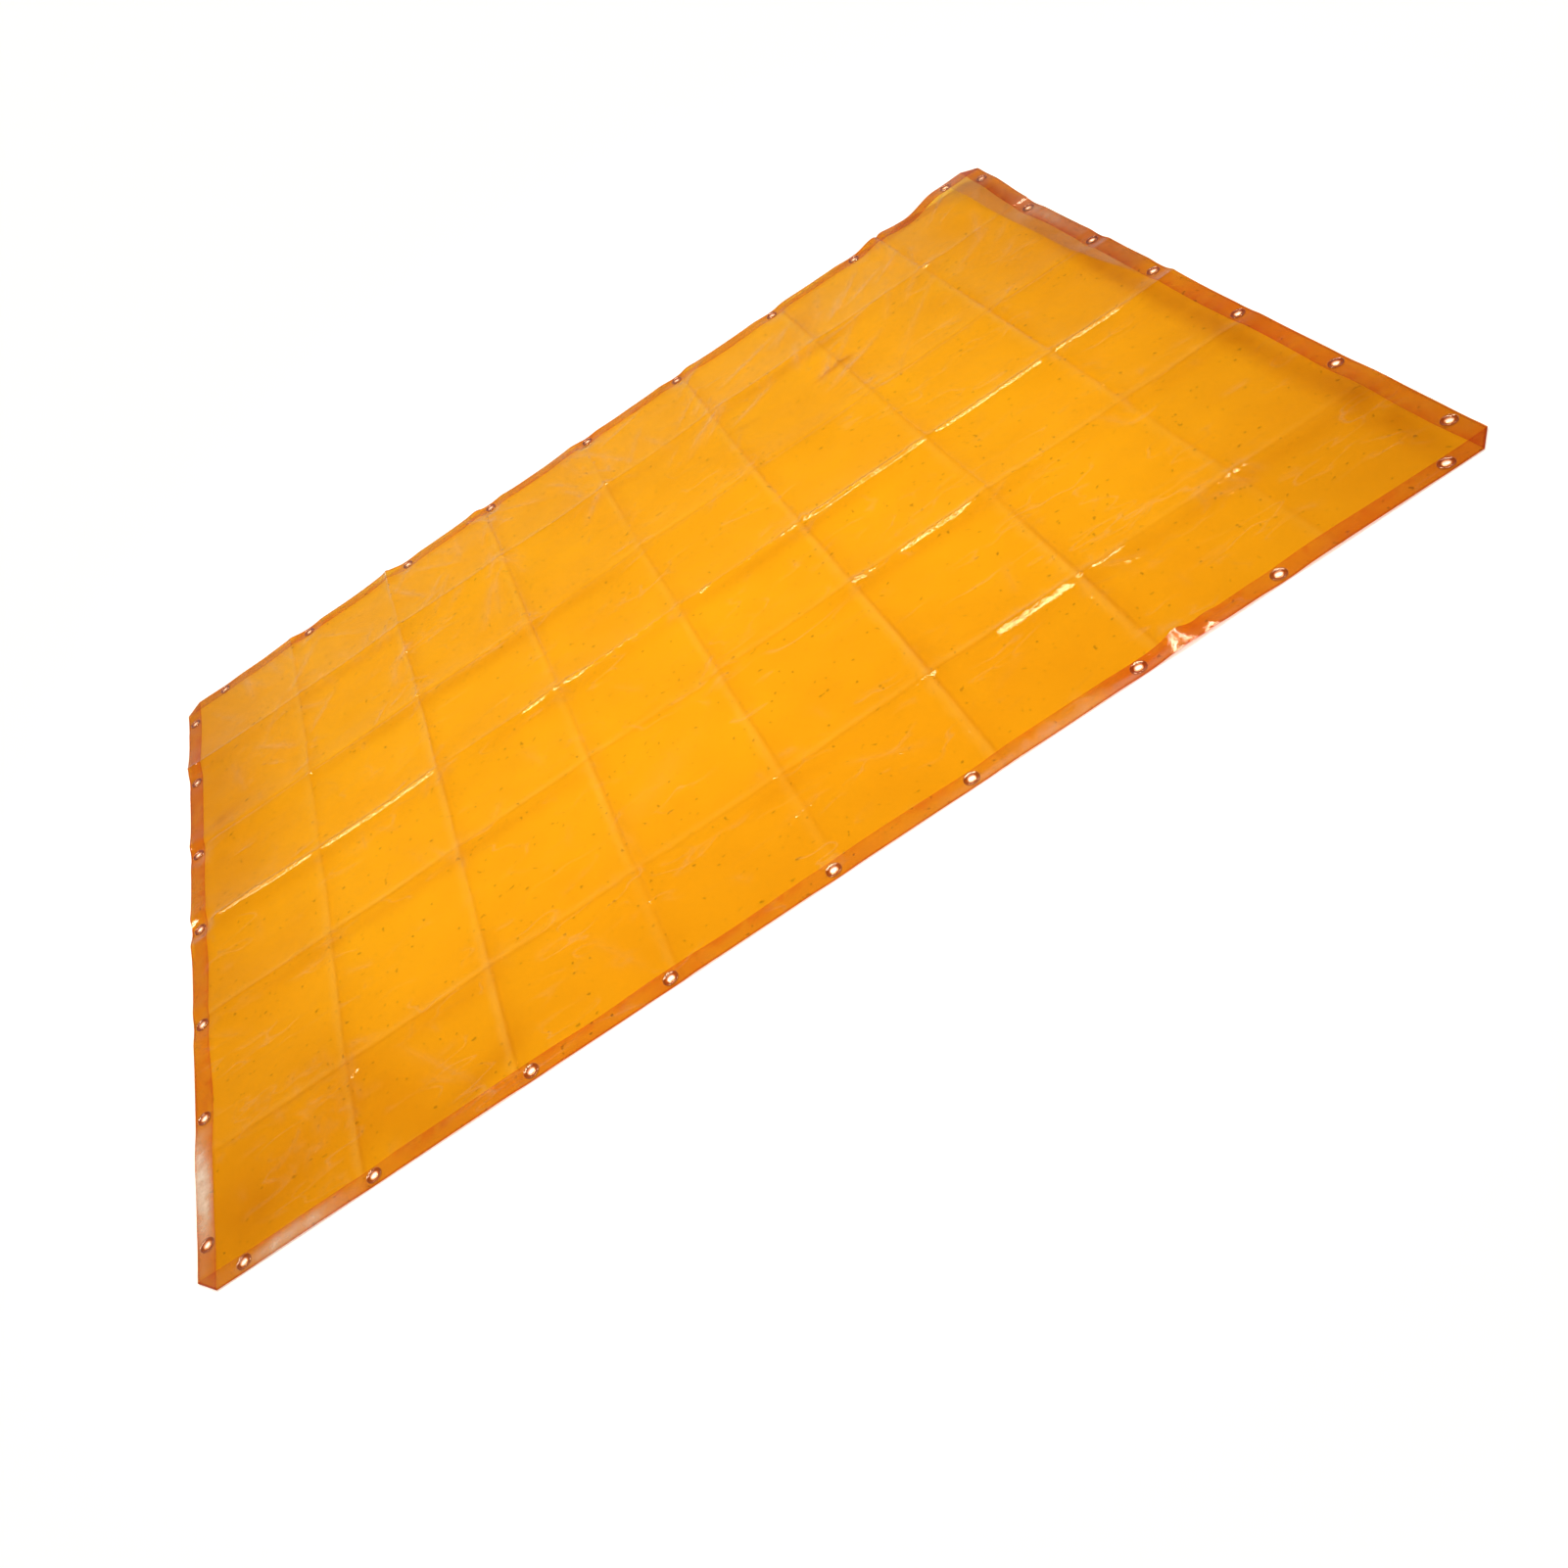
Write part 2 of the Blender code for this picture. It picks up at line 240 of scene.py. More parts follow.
def make_crinkles():
    """Straight wrinkles: start, end, height and width. Most short ones gather near fold crossings."""
    rng = np.random.default_rng(7)
    found = [
        (np.array(start), np.array(end), height, width)
        for start, end, height, width in LONG_CREASES
    ]

    def wrinkle(at, turn, reach, heights, widths):
        step = reach * np.array([math.cos(turn), math.sin(turn)])
        found.append((at - step, at + step, rng.uniform(*heights), rng.uniform(*widths)))

    for _ in range(SHORT_WRINKLES):
        if rng.random() < 0.62:
            at = np.array([rng.choice(FOLDS_X), rng.choice(FOLDS_Y)]) + rng.normal(0, 0.035, 2)
        else:
            at = np.array([rng.uniform(-HALF_LENGTH, HALF_LENGTH), rng.uniform(-HALF_WIDTH, HALF_WIDTH)])
        turn = rng.uniform(0, math.pi)
        wrinkle(at, turn, rng.uniform(0.015, 0.060), (0.0004, 0.0013), (0.0022, 0.0045))
    # long soft wrinkles across the far row of cells, steeper to the left than to the right
    for _ in range(FAR_WRINKLES):
        at_x = rng.uniform(-HALF_LENGTH + 0.1, HALF_LENGTH - 0.1)
        at = np.array([at_x, rng.uniform(0.42, HALF_WIDTH - 0.05)])
        lean = rng.normal(42, 14) if at_x > 0.25 else rng.choice([-1, 1]) * rng.normal(62, 12)
        wrinkle(at, math.radians(lean), rng.uniform(0.04, 0.12), (0.0010, 0.0026), (0.0045, 0.0085))
    # the crumpled near left corner
    for _ in range(CORNER_WRINKLES):
        at = rng.normal((-0.98, -0.72), (0.11, 0.09))
        turn = rng.uniform(0, math.pi)
        wrinkle(at, turn, rng.uniform(0.010, 0.034), (0.0005, 0.0012), (0.0022, 0.0040))
    return found


CRINKLES = make_crinkles()


def crinkle_relief(x, y):
    """Height of all the wrinkles, each a ridge that tapers to its ends."""
    total = np.zeros_like(x)
    for start, end, height, width in CRINKLES:
        axis = end - start
        length = np.hypot(*axis)
        axis = axis / length
        u = (x - start[0]) * axis[0] + (y - start[1]) * axis[1]
        v = (y - start[1]) * axis[0] - (x - start[0]) * axis[1]
        near = (u > -0.01) & (u < length + 0.01) & (np.abs(v) < 6 * width)
        taper = np.clip(4 * (u[near] / length) * (1 - u[near] / length), 0, 1)
        total[near] += height * taper * np.exp(-np.abs(v[near]) / width)
    return total


# Where the far right corner's rise starts and is full, from the right edge and from the far edge
LIFT_ALONG = (-0.215, -0.112)
LIFT_ACROSS = (-0.300, -0.112)


def corner_lift(x, y):
    """Rise of the far right corner off the floor."""
    lift = max(low.z for low, _ in EYELETS.values())
    return lift * smooth(*LIFT_ALONG, x - HALF_LENGTH) * smooth(*LIFT_ACROSS, y - HALF_WIDTH)


def edge_distance(x, y):
    """Distance to the nearest of the sheet's four straight edges."""
    return np.minimum(HALF_LENGTH - np.abs(x), HALF_WIDTH - np.abs(y))


def make_puckers():
    """Small bumps gathered where folds cross: place, radius and height."""
    rng = np.random.default_rng(19)
    found = []
    for place_x in FOLDS_X:
        for place_y in FOLDS_Y:
            for _ in range(rng.integers(1, 4)):
                place = np.array([place_x, place_y]) + rng.normal(0, 0.007, 2)
                found.append((place, rng.uniform(0.0035, 0.0070), rng.uniform(0.0008, 0.0024)))
    return found


PUCKERS = make_puckers()


def pucker_relief(x, y):
    """Height of all the small bumps."""
    total = np.zeros_like(x)
    for (place_x, place_y), radius, height in PUCKERS:
        reach = ((x - place_x) ** 2 + (y - place_y) ** 2) / radius ** 2
        total += height * np.exp(-reach)
    return total


def outline_distance(x, y):
    """How far inside the sheet's outline, its cut corners included."""
    corner = (HALF_LENGTH + HALF_WIDTH - CORNER_CUT - np.abs(x) - np.abs(y)) / math.sqrt(2)
    return np.minimum(edge_distance(x, y), corner)


def edge_waves(x, y):
    """Waves along the sheet's edges, taller towards the far one."""
    waves = 1 + spline_noise(x, y, 0.11, 9)
    far_share = 0.45 + 0.55 * smooth(-0.5, 0.5, y)
    return 0.0016 * far_share * waves * (1 - smooth(0.0, 0.09, edge_distance(x, y)))


def pleat_relief(x, y):
    """The pinched pleat in the near hem: a pucker with a narrower, lower one beside it."""
    along, across = x - PLEAT_PLACE[0], y - PLEAT_PLACE[1]
    pleat = np.exp(-((along / 0.022) ** 2))
    pleat += 0.75 * np.exp(-(((along - 0.050) / 0.014) ** 2))
    pleat *= 1 + 0.4 * spline_noise(x, y, 0.012, 51)
    return PLEAT_HEIGHT * pleat * np.exp(-((across / 0.026) ** 2))


SOFT_WAVES = ((0.0012, 0.17, 3), (0.0004, 0.045, 4))   # over the whole sheet: height, cell, seed


def free_relief(x, y):
    """Height of the film's underside where no eyelet holds it level."""
    total = np.zeros_like(x)
    for index, place in enumerate(FOLDS_X):
        shape = FOLD_SHAPES_X[index]
        across = x - place - fold_offset(0, index, y)
        total += fold_relief(across, shape, fold_strength(y, HALF_WIDTH, shape, 70 + index, 0.16))
    for index, place in enumerate(FOLDS_Y):
        shape = FOLD_SHAPES_Y[index]
        across = y - place - fold_offset(1, index, x)
        total += fold_relief(across, shape, fold_strength(x, HALF_LENGTH, shape, 80 + index, 0.18))
    total += steep_relief(x, y) + facet_relief(x, y)
    for height, cell, seed in SOFT_WAVES:
        total += height * (1 + spline_noise(x, y, cell, seed))
    total += crinkle_relief(x, y) + pucker_relief(x, y)
    total += edge_waves(x, y)
    total += pleat_relief(x, y)
    return np.maximum(total, 0.0)


FLOOR_GAP = 0.0003               # under the film where it is flattest
HOLD_FROM, HOLD_TO = 0.001, 0.040   # past an eyelet's rim, where its level hold on the film fades


def film_height(x, y):
    """Height of the panel's underside above the floor."""
    height = FLOOR_GAP + free_relief(x, y)
    for centre_x, centre_y in EYELET_CENTRES:
        reach = np.hypot(x - centre_x, y - centre_y)
        hold = 1 - smooth(EYELET_RADIUS + HOLD_FROM, EYELET_RADIUS + HOLD_TO, reach)
        height = height + hold * (FILM_LEVEL - height)
    return height + corner_lift(x, y)


def long_hem_height(x, y):
    """A long hem lies one layer above the panel."""
    return film_height(x, y) + LAYER_PITCH


def short_hem_height(x, y):
    """A short hem lies one layer above the panel, and two where it laps over a long one."""
    from_end = HALF_WIDTH - np.abs(y)
    return long_hem_height(x, y) + LAYER_PITCH * (1 - smooth(LAP_START, LAP_END, from_end))


# ---------------------------------------------------------------- tints, painted shade and painted sheen

# Dark patches: mostly painted shade, at the near left corner, along the raised right end and along the
# left end, with a few dirt marks
SHADE_AND_DIRT_PATCHES = (
    # centre, half length and half width, turn in degrees, strength
    (-0.83, -0.77, 0.20, 0.07, -58, 0.50), (-0.66, -0.84, 0.10, 0.03, 20, 0.40),
    (-1.10, -0.80, 0.16, 0.08, 10, 0.45), (1.158, -0.28, 0.34, 0.026, 88, 0.95),
    (1.155, 0.20, 0.26, 0.022, 89, 0.95), (1.165, -0.68, 0.18, 0.028, 86, 0.90),
    (1.06, 0.900, 0.18, 0.020, 0, 0.80),
    (0.66, 0.80, 0.11, 0.035, 62, 0.22), (0.60, 0.475, 0.050, 0.005, 6, 1.50),
    (-1.13, 0.34, 0.03, 0.012, 20, 0.50), (-0.68, -0.868, 0.018, 0.005, 25, 1.10),
    (-1.15, 0.30, 0.09, 0.50, 0, 0.28), (0.37, 0.48, 0.06, 0.006, -12, 0.35),
)
DARKENING = (0.17, 0.32, 0.60)     # of red, green and blue, by one unit of shade
PAINTED_LIGHT_LIFT = (0.01, 0.04, 0.10)     # of red, green and blue, by one unit of painted light
# Patches of painted sheen
PAINTED_SHEEN_PATCHES = (
    (1.10, 0.86, 0.10, 0.030, 0, 0.020),
    (0.80, 0.78, 0.30, 0.10, 10, 0.010), (-0.45, 0.80, 0.40, 0.05, 0, 0.008),
    (-1.00, 0.72, 0.18, 0.12, 20, 0.008), (-0.20, -0.46, 0.10, 0.03, 30, 0.008),
)
DARK_STREAK, LIGHT_STREAK = 0.0036, 0.0055   # half widths of the painted shade and painted light streaks along the folds


def streak(across, middle, width):
    """1 on a line beside a fold, fading over a width to each side."""
    return np.exp(-(((across - middle) / width) ** 2))


def fold_shade(x, y):
    """Painted shade and painted light: dark and light streaks that run along the folds."""
    dark = np.zeros_like(x)
    light = np.zeros_like(x)
    for index, place in enumerate(FOLDS_X):
        across = x - place - fold_offset(0, index, y)
        strength = np.clip(0.75 + 0.5 * line_noise(y, 0.13, 90 + index), 0.25, 1.3)
        twin = np.clip(line_noise(y, 0.30, 95 + index), 0.0, 1.0)
        dark += strength * 0.42 * streak(across, 0, DARK_STREAK)
        dark += strength * twin * 0.30 * streak(across, 0.016, DARK_STREAK)
        dark += strength * 0.14 * streak(across, 0.013, 0.013)
        light += strength * streak(across, -0.0085, LIGHT_STREAK)
    for index, place in enumerate(FOLDS_Y):
        across = y - place - fold_offset(1, index, x)
        strength = np.clip(0.70 + 0.5 * line_noise(x, 0.13, 100 + index), 0.2, 1.3)
        patchy = np.clip(0.35 + 0.9 * line_noise(x, 0.22, 110 + index), 0.0, 1.2)
        dark += strength * 0.45 * streak(across, 0, DARK_STREAK)
        dark += 0.36 * patchy * streak(across, -0.0275, 0.0225)
        light += strength * streak(across, 0.0095, LIGHT_STREAK)
    return dark, light


STRIP_START = 0.02                 # y from which the painted strip shows
STRIP_FADE = (-0.002, 0.003)       # across its inner edge


def strip_edge(y):
    """Inner edge of the strip beside the right hem that is painted in shade and sheen, as if the film
    lifted from there.
    """
    widening = 0.028 * smooth(STRIP_START, 0.35, y)
    return HALF_LENGTH - 0.040 - widening - 0.016 * smooth(0.45, 0.90, y)


def painted_lift_strip(x, y):
    """1 on the strip beside the right hem that is painted as lifting towards the far right corner, 0
    elsewhere.
    """
    return smooth(*STRIP_FADE, x - strip_edge(y)) * smooth(STRIP_START, 0.16, y)


def in_patches(x, y, patches):
    """Sum of soft, ragged oval patches: centre, half length and width, turn in degrees, strength."""
    total = np.zeros_like(x)
    ragged = 1 + 0.35 * spline_noise(x, y, 0.03, 17) + 0.25 * spline_noise(x, y, 0.012, 18)
    for centre_x, centre_y, half_length, half_width, turn, strength in patches:
        turn = math.radians(turn)
        u = (x - centre_x) * math.cos(turn) + (y - centre_y) * math.sin(turn)
        v = (y - centre_y) * math.cos(turn) - (x - centre_x) * math.sin(turn)
        spread = (u / half_length) ** 2 + (v / half_width) ** 2
        total += strength * ragged * np.exp(-spread * ragged)
    return total


def rim_share(x, y):
    """1 at the sheet's cut edge, 0 a few millimetres inside it."""
    return 1 - smooth(0.0014, 0.0046, outline_distance(x, y))


def film_tint_with_painted_light(x, y):
    """How the film's colour varies, with painted shade and painted light worked in: a factor for each
    channel of the light it passes.
    """
    dark, light = fold_shade(x, y)
    # painted shade: the dark patches, a few of them dirt, and the strip by the right hem
    dark += in_patches(x, y, SHADE_AND_DIRT_PATCHES) + 1.1 * painted_lift_strip(x, y)
    # painted shade along each wrinkle, in step with its height
    dark += 60 * crinkle_relief(x, y)
    dark += 0.07 * (1 + spline_noise(x, y, 0.10, 21)) + 0.06 * (1 + spline_noise(x, y, 0.035, 22))
    # painted shade: the sheet's two ends and its near row darker, as less light reaches them
    dark += 0.42 * smooth(0.75, 1.20, np.abs(x)) + 0.42 * smooth(-0.30, -0.92, y)
    factor = np.exp(np.outer(light, PAINTED_LIGHT_LIFT) - np.outer(dark, DARKENING))
    factor *= 1 - np.outer(rim_share(x, y), (0.16, 0.42, 0.60))
    return np.clip(factor, 0, 1.4)


def panel_painted_sheen(x, y):
    """How strongly a painted pale sheen lies over the panel: painted highlights by the folds and wrinkles,
    a painted reflection over the far row.
    """
    light = fold_shade(x, y)[1]
    # painted highlights: along the folds' light streaks and just beside each wrinkle
    painted_sheen = 0.018 * light + 22 * crinkle_relief(x, y - 0.0045)
    # painted reflection of the bright low surroundings over the far row
    painted_sheen += 0.006 * smooth(0.40, 0.80, y) * (1 + 0.6 * spline_noise(x, y, 0.12, 24))
    # painted sheen on the strip by the right hem
    painted_sheen += 0.055 * painted_lift_strip(x, y) * (1 + 0.5 * spline_noise(x, y, 0.03, 26))
    return np.clip(painted_sheen + in_patches(x, y, PAINTED_SHEEN_PATCHES), 0, 0.8)


# The redder and the glaring places in the hems
HEM_PATCHES = (
    (0.565, -0.897, 0.050, 0.030, 0, 0.90), (0.660, -0.890, 0.070, 0.030, 0, 0.60),
    (0.950, -0.900, 0.300, 0.050, 0, 0.55), (1.200, -0.300, 0.350, 0.050, 90, 0.40),
    (-1.200, 0.450, 0.300, 0.050, 90, 0.55), (1.200, 0.300, 0.100, 0.050, 90, 0.45),
    (1.080, 0.897, 0.200, 0.030, 0, 1.00), (1.200, 0.720, 0.200, 0.050, 90, 0.60),
    (-0.860, 0.900, 0.060, 0.030, 0, 0.60), (0.020, 0.900, 0.080, 0.030, 0, 0.55),
    (0.900, 0.900, 0.120, 0.030, 0, 0.60), (-0.330, -0.897, 0.090, 0.030, 0, 0.45),
)
GLARING_PATCHES = (
    (-1.205, -0.715, 0.085, 0.016, 90, 0.42), (-1.210, -0.640, 0.060, 0.010, 90, 0.30),
    (-1.035, -0.902, 0.080, 0.012, 0, 0.26), (0.450, -0.906, 0.200, 0.006, 0, 0.10),
    (1.205, 0.520, 0.160, 0.016, 90, 0.08), (1.160, 0.900, 0.060, 0.020, 0, 0.08),
)
# how dark each hem is painted: the short hems at the sheet's ends are in painted shade, as the panel's
# ends are
HEM_PAINTED_SHADE = {"near": 0.05, "far": 0.00, "left": 0.30, "right": 0.34}
HEM_DARKENING = (0.05, 0.38, 0.30)


def hem_spans(row):
    """Half the length of the edge that a hem follows, and that edge's distance from the middle."""
    return (HALF_LENGTH, HALF_WIDTH) if row in LONG_ROWS else (HALF_WIDTH, HALF_LENGTH)


def hem_tint_with_painted_shade(row):
    """A hem's colour, streaked along its length, with a dark line at its inner edge and painted shade on
    the short hems at the sheet's ends.
    """
    def tint(x, y):
        along, across = (x, y) if row in LONG_ROWS else (y, x)
        streaks = spline_noise(along, across * 6, 0.045, 31)
        streaks += 0.6 * spline_noise(along, across * 12, 0.05, 32)
        dark = HEM_PAINTED_SHADE[row] + 0.22 * streaks + 0.20 * spline_noise(x, y, 0.02, 33)
        dark += 0.24 * spline_noise(x, y, 0.12, 34) + in_patches(x, y, HEM_PATCHES)
        inner = hem_reach(row, along if row in ("near", "right") else -along)
        inner -= hem_spans(row)[1] - np.abs(across)
        dark += 0.8 * np.exp(-((inner / 0.0016) ** 2))
        if row == "far":
            dark += 0.6 * (1 - smooth(0.0, 0.022, edge_distance(x, y)))
        factor = np.exp(-np.outer(dark, HEM_DARKENING))
        factor *= 1 - np.outer(rim_share(x, y), (0.10, 0.34, 0.40))
        return np.clip(factor, 0, 1.0)

    return tint


def hem_painted_glare(x, y):
    """The painted pale glare on stretches of the hems."""
    return np.clip(in_patches(x, y, GLARING_PATCHES), 0, 0.8)


# ---------------------------------------------------------------- film meshes

EDGE_STEP = 0.007                  # between points along an outline
RIM_ROWS = (0.0014, 0.0030, 0.0048)   # inside the sheet's outline
FOLD_ROWS = (0, -0.0024, 0.0024, -0.0056, 0.0056, -0.0110, 0.0110)   # beside a fold
STEEP_ROWS = (-0.0084, -0.0040, 0.0040, 0.0084)
FACET_ROWS = (-FACET_WIDTH, -0.015, -0.005, FACET_DROP)
FINE_STEP = 0.005                  # along the steep stretches and the facet
STRIP_STEP = 0.006
WRINKLE_STEP = 0.013
EYELET_RINGS = (0.0145, 0.020, 0.028, 0.038)
THINNING_CELL = 0.0023
HOLE_SIDES = 28
HEM_EDGE_POINTS = 260
HEM_WAVER = 0.0028


def sheet_outline(inset=0.0):
    """The sheet's outline, or a line inside it, counter-clockwise as seen from above."""
    x, y = HALF_LENGTH - inset, HALF_WIDTH - inset
    cut = CORNER_CUT - inset * (2 - math.sqrt(2))
    near_half = [(-x, cut - y), (cut - x, -y), (x - cut, -y), (x, cut - y)]
    return near_half + [(-px, -py) for px, py in near_half]


def hem_reach(row, along):
    """The hem's width along its length: its inner edge wavers a little."""
    seed = 60 + list(ROWS).index(row)
    return HEM_WIDTH + HEM_WAVER * line_noise(along, 0.09, seed) - HEM_WAVER


def hem_outline(row):
    """The sheet's outline within a hem's width of one edge, counter-clockwise as seen from above."""
    half_run, half_reach = hem_spans(row)
    inner = np.linspace(half_run - 0.001, 0.001 - half_run, HEM_EDGE_POINTS)
    level = hem_reach(row, inner) - half_reach
    # drawn with the outer edge at the bottom, then turned into place
    points = [(CORNER_CUT - half_run, -half_reach), (half_run - CORNER_CUT, -half_reach)]
    points += [(half_run, CORNER_CUT - half_reach), (half_run, level[0])]
    points += list(zip(inner[1:-1], level[1:-1]))
    points += [(-half_run, level[-1]), (-half_run, CORNER_CUT - half_reach)]
    if row == "near":
        return points
    if row == "far":
        return [(-x, -y) for x, y in points]
    if row == "right":
        return [(-y, x) for x, y in points]
    return [(y, -x) for x, y in points]


def in_hem(row):
    """A test for points in a hem, by at least a margin."""
    def test(points, margin):
        x, y = points.T
        # the turns in hem_outline, undone
        turned = {"near": (x, y), "far": (-x, -y), "right": (y, -x), "left": (-y, x)}[row]
        depth = hem_reach(row, turned[0]) - (turned[1] + hem_spans(row)[1])
        return in_sheet(points, margin) & (depth > margin)

    return test


def divided(loop, step):
    """A loop's points with its sides divided into lengths of about one step."""
    points = []
    for (x0, y0), (x1, y1) in zip(loop, loop[1:] + loop[:1]):
        count = max(1, round(math.hypot(x1 - x0, y1 - y0) / step))
        points += [(x0 + (x1 - x0) * i / count, y0 + (y1 - y0) * i / count) for i in range(count)]
    return np.array(points)


def unit_ring(count):
    """Points evenly round a circle of radius 1."""
    turns = np.arange(count) * math.tau / count
    return np.stack([np.cos(turns), np.sin(turns)], 1)


def rows_beside(axis, fold, along, sides):
    """Rows of points along a fold, one at each signed distance beside it."""
    centre = (FOLDS_X, FOLDS_Y)[axis][fold] + fold_offset(axis, fold, along)
    if axis == 0:
        return [np.stack([centre + side, along], 1) for side in sides]
    return [np.stack([along, centre + side], 1) for side in sides]


def fill_points():
    """Points over the whole sheet: rows along folds and wrinkles, and an even field between."""
    step = 0.0168
    groups = []
    for fold in range(len(FOLDS_X)):
        groups += rows_beside(0, fold, np.arange(-HALF_WIDTH, HALF_WIDTH, step * 0.62), FOLD_ROWS)
    for fold in range(len(FOLDS_Y)):
        groups += rows_beside(1, fold, np.arange(-HALF_LENGTH, HALF_LENGTH, step * 0.62), FOLD_ROWS)
    for fold, start, end, _, _ in STEEP_STRETCHES:
        groups += rows_beside(1, fold, np.arange(start, end, FINE_STEP), STEEP_ROWS)
    fold, start, end = FACET_STRETCH
    groups += rows_beside(1, fold, np.arange(start, end, FINE_STEP), FACET_ROWS)
    along = np.arange(STRIP_START, HALF_WIDTH, STRIP_STEP)
    groups += [np.stack([strip_edge(along) + side, along], 1) for side in STRIP_FADE]
    for start, end, _, width in CRINKLES:
        length = np.hypot(*(end - start))
        shares = np.linspace(0, 1, max(4, round(length / WRINKLE_STEP)))[:, None]
        line = start + shares * (end - start)
        normal = np.array([start[1] - end[1], end[0] - start[0]]) / length
        groups += [line + side * normal for side in (0, -width, width)]
    field_x = np.arange(-HALF_LENGTH, HALF_LENGTH, step)
    field_y = np.arange(-HALF_WIDTH, HALF_WIDTH, step)
    grid_x, grid_y = np.meshgrid(field_x, field_y)
    jitter = np.random.default_rng(5).uniform(-0.3, 0.3, (2, *grid_x.shape)) * step
    groups.append(np.stack([(grid_x + jitter[0]).ravel(), (grid_y + jitter[1]).ravel()], 1))
    for centre in EYELET_CENTRES:
        groups += [centre + radius * unit_ring(32) for radius in EYELET_RINGS]
    points = np.concatenate(groups)
    # one point in each small cell, the first of those above; the large factor keeps cells apart
    cell = np.floor(points / THINNING_CELL).astype(np.int64)
    _, first = np.unique(cell[:, 0] * 100003 + cell[:, 1], return_index=True)
    points = points[np.sort(first)]
    points = points[inside_loop(points, sheet_outline(), RIM_ROWS[-1] + 0.002)]
    # rows just inside the outline, where the film's edge darkens
    rim = [divided(sheet_outline(inset), EDGE_STEP) for inset in RIM_ROWS]
    return np.concatenate([points] + rim)


def inside_loop(points, loop, margin):
    """Which points are inside a convex loop, by at least the margin."""
    corners = np.array(loop)
    keep = np.ones(len(points), bool)
    for (x0, y0), (x1, y1) in zip(corners, np.roll(corners, -1, axis=0)):
        length = math.hypot(x1 - x0, y1 - y0)
        depth = ((x1 - x0) * (points[:, 1] - y0) - (y1 - y0) * (points[:, 0] - x0)) / length
        keep &= depth > margin
    return keep


def in_sheet(points, margin):
    """Which points are inside the sheet's outline, by at least the margin."""
    return inside_loop(points, sheet_outline(), margin)


FILL = fill_points()


def flat_film(loop, within):
    """Triangles that fill a loop, without the eyelets' holes: their points and faces."""
    centres = EYELET_CENTRES[within(EYELET_CENTRES, 0.0)]
    ring = HOLE_RADIUS * unit_ring(HOLE_SIDES)
    loops = [divided(loop, EDGE_STEP)] + [centre + ring for centre in centres]
    points = FILL[within(FILL, 0.0011)]
    for centre in centres:
        points = points[np.hypot(*(points - centre).T) > HOLE_RADIUS + 0.0015]
    edges = []
    count = 0
    for item in loops:
        edges += [(count + i, count + (i + 1) % len(item)) for i in range(len(item))]
        count += len(item)
    places = np.concatenate(loops + [points])
    verts, _, faces, *_ = delaunay_2d_cdt([Vector(p) for p in places], edges, [], 1, 1e-7)
    flat = np.array([v[:] for v in verts])
    faces = np.array(faces)
    middles = flat[faces].mean(1)
    keep = within(middles, 0.0)
    for centre in centres:
        keep &= np.hypot(*(middles - centre).T) > HOLE_RADIUS * math.cos(math.pi / HOLE_SIDES)
    used, faces = np.unique(faces[keep], return_inverse=True)
    return flat[used], faces.reshape(-1, 3).tolist()


def store_tint(mesh, colours):
    """Keep a colour for each point of a mesh, which its material reads."""
    channels = np.ones((len(colours), 4))
    channels[:, :3] = colours
    layer = mesh.attributes.new("tint", "FLOAT_COLOR", "POINT")
    layer.data.foreach_set("color", channels.ravel())


def film_mesh(name, loop, within, height, tint, painted_sheen):
    """A closed film within a loop, with the eyelets' holes in it, at the height given."""
    flat, faces = flat_film(loop, within)
    x, y = flat[:, 0], flat[:, 1]
    under = height(x, y)
    total = len(flat)
    top = np.column_stack([flat, under + FILM_THICKNESS])
    bottom = np.column_stack([flat, under])
    under_faces = [(c + total, b + total, a + total) for a, b, c in faces]
    # a side that only one triangle has is on the rim; a dict keeps them in order
    sides = dict.fromkeys(pair for a, b, c in faces for pair in ((a, b), (b, c), (c, a)))
    walls = [(a, a + total, b + total, b) for a, b in sides if (b, a) not in sides]
    mesh = bpy.data.meshes.new(name)
    mesh.from_pydata(np.concatenate([top, bottom]).tolist(), [], faces + under_faces + walls)
    # light passes two surfaces, so each has the square root of the tint
    store_tint(mesh, np.tile(tint(x, y), (2, 1)) ** 0.5)
    # the painted sheen, stored for the material
    layer = mesh.attributes.new("painted_sheen", "FLOAT", "POINT")
    layer.data.foreach_set("value", np.tile(painted_sheen(x, y), 2))
    mesh.validate()
    mesh.shade_smooth()
    mesh.set_sharp_from_angle(angle=math.radians(55))
    return mesh


# ---------------------------------------------------------------- materials

def new_material(name):
    """An empty material and its node tree."""
    material = bpy.data.materials.new(name)
    material.use_nodes = True
    material.node_tree.nodes.clear()
    return material, material.node_tree


def add(tree, kind, **values):
    """A node with some of its settings and inputs set."""
    node = tree.nodes.new(kind)
    for key, value in values.items():
        if hasattr(node, key) and key not in node.inputs:
            setattr(node, key, value)
        else:
            node.inputs[key.replace("_", " ")].default_value = value
    return node


def noise(tree, scale, detail, vector, roughness=0.5):
    """A noise texture's value at the coordinates given."""
    node = add(tree, "ShaderNodeTexNoise", Scale=scale, Detail=detail, Roughness=roughness)
    tree.links.new(vector, node.inputs["Vector"])
    return node.outputs["Fac"]


def ranged(tree, value, low, high, to_low, to_high):
    """A value taken from one range to another."""
    node = add(tree, "ShaderNodeMapRange")
    node.inputs["From Min"].default_value = low
    node.inputs["From Max"].default_value = high
    node.inputs["To Min"].default_value = to_low
    node.inputs["To Max"].default_value = to_high
    tree.links.new(value, node.inputs["Value"])
    return node.outputs["Result"]


